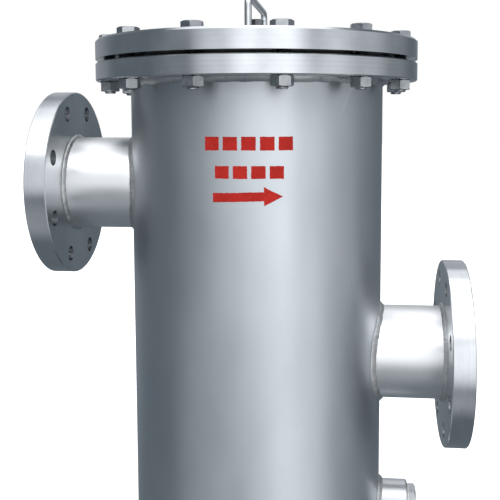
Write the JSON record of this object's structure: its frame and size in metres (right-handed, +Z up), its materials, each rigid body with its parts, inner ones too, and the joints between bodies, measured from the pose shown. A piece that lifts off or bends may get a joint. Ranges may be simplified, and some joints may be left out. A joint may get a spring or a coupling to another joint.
{
  "type": "basket strainer",
  "caption": "Offset flanged basket strainer with a bolted round cover, lifting handle, high inlet, low outlet, drain plug and removable basket.",
  "frame": {"origin": "centre of the bottom plate's underside", "axes": "+Z up along the vessel; +X from the inlet towards the outlet, the way the liquid flows"},
  "size_m": [0.5, 0.376, 0.6665],
  "materials": {
    "blasted_stainless": "bead-blasted satin stainless steel",
    "machined_stainless": "turned stainless steel with fine lathe rings",
    "fastener_steel": "plain stainless fasteners",
    "bright_bar": "drawn bright round bar",
    "basket_sheet": "stainless sheet",
    "perforated_sheet": "punched stainless sheet",
    "wire_mesh": "fine woven wire",
    "dark_gasket": "matt graphite-grey sealing sheet",
    "pale_seal": "pale PTFE-like sealing ring"
  },
  "bodies": {
    "vessel": {"shell": "blasted_stainless", "bottom_plate": "blasted_stainless", "body_flange": "machined_stainless", "inlet_pipe": "blasted_stainless", "inlet_flange": "machined_stainless", "outlet_pipe": "blasted_stainless", "outlet_flange": "machined_stainless", "basket_seat": "machined_stainless", "drain_boss": "blasted_stainless", "cover_gasket": "dark_gasket"},
    "cover": {"cover_plate": "machined_stainless", "lifting_handle": "bright_bar", "vent_boss": "blasted_stainless"},
    "bolts": {"cover_bolts": "fastener_steel"},
    "nuts": {"cover_nuts": "fastener_steel"},
    "basket": {"basket_gasket": "dark_gasket", "basket_rim": "basket_sheet", "basket_screen": "perforated_sheet", "mesh_liner": "wire_mesh", "basket_floor": "basket_sheet", "basket_bottom_band": "basket_sheet", "basket_seam_strip": "basket_sheet", "bail_lugs": "basket_sheet"},
    "bail": {"basket_bail": "bright_bar"},
    "drain_seal": {"drain_washer": "pale_seal"},
    "drain_screw": {"drain_plug": "fastener_steel"},
    "vent_seal": {"vent_washer": "pale_seal"},
    "vent_screw": {"vent_plug": "fastener_steel"}
  },
  "joints": [
    {"name": "cover_lift", "type": "slide", "parent": "vessel", "child": "cover", "axis": [0, 0, 1], "range_m": [0, 0.6]},
    {"name": "bolts_lift", "type": "slide", "parent": "cover", "child": "bolts", "axis": [0, 0, 1], "range_m": [0, 0.07]},
    {"name": "nuts_drop", "type": "slide", "parent": "vessel", "child": "nuts", "axis": [0, 0, -1], "range_m": [0, 0.03]},
    {"name": "basket_lift", "type": "slide", "parent": "vessel", "child": "basket", "axis": [0, 0, 1], "range_m": [0, 0.56]},
    {"name": "bail_swing", "type": "hinge", "parent": "basket", "child": "bail", "pos_m": [0, 0, 0.385], "axis": [0, -1, 0], "range_deg": [0, 182.5]},
    {"name": "drain_seal_slide", "type": "slide", "parent": "vessel", "child": "drain_seal", "axis": [1, 0, 0], "range_m": [0, 0.01451]},
    {"name": "drain_plug_turn", "type": "hinge", "parent": "drain_seal", "child": "drain_screw", "pos_m": [0.19, 0, 0.063], "axis": [1, 0, 0], "range_deg": [0, 2892]},
    {"name": "vent_seal_slide", "type": "slide", "parent": "cover", "child": "vent_seal", "axis": [0, 0, 1], "range_m": [0, 0.00907]},
    {"name": "vent_plug_turn", "type": "hinge", "parent": "vent_seal", "child": "vent_screw", "pos_m": [0, 0, 0.64], "axis": [0, 0, 1], "range_deg": [0, 3612]}
  ],
  "couplings": [
    {"joint": "basket_lift", "follows": "cover_lift", "ratio": 0.9333},
    {"joint": "drain_plug_turn", "follows": "drain_seal_slide", "rad_per_m": 3463.7},
    {"joint": "vent_plug_turn", "follows": "vent_seal_slide", "rad_per_m": 6927.4}
  ]
}
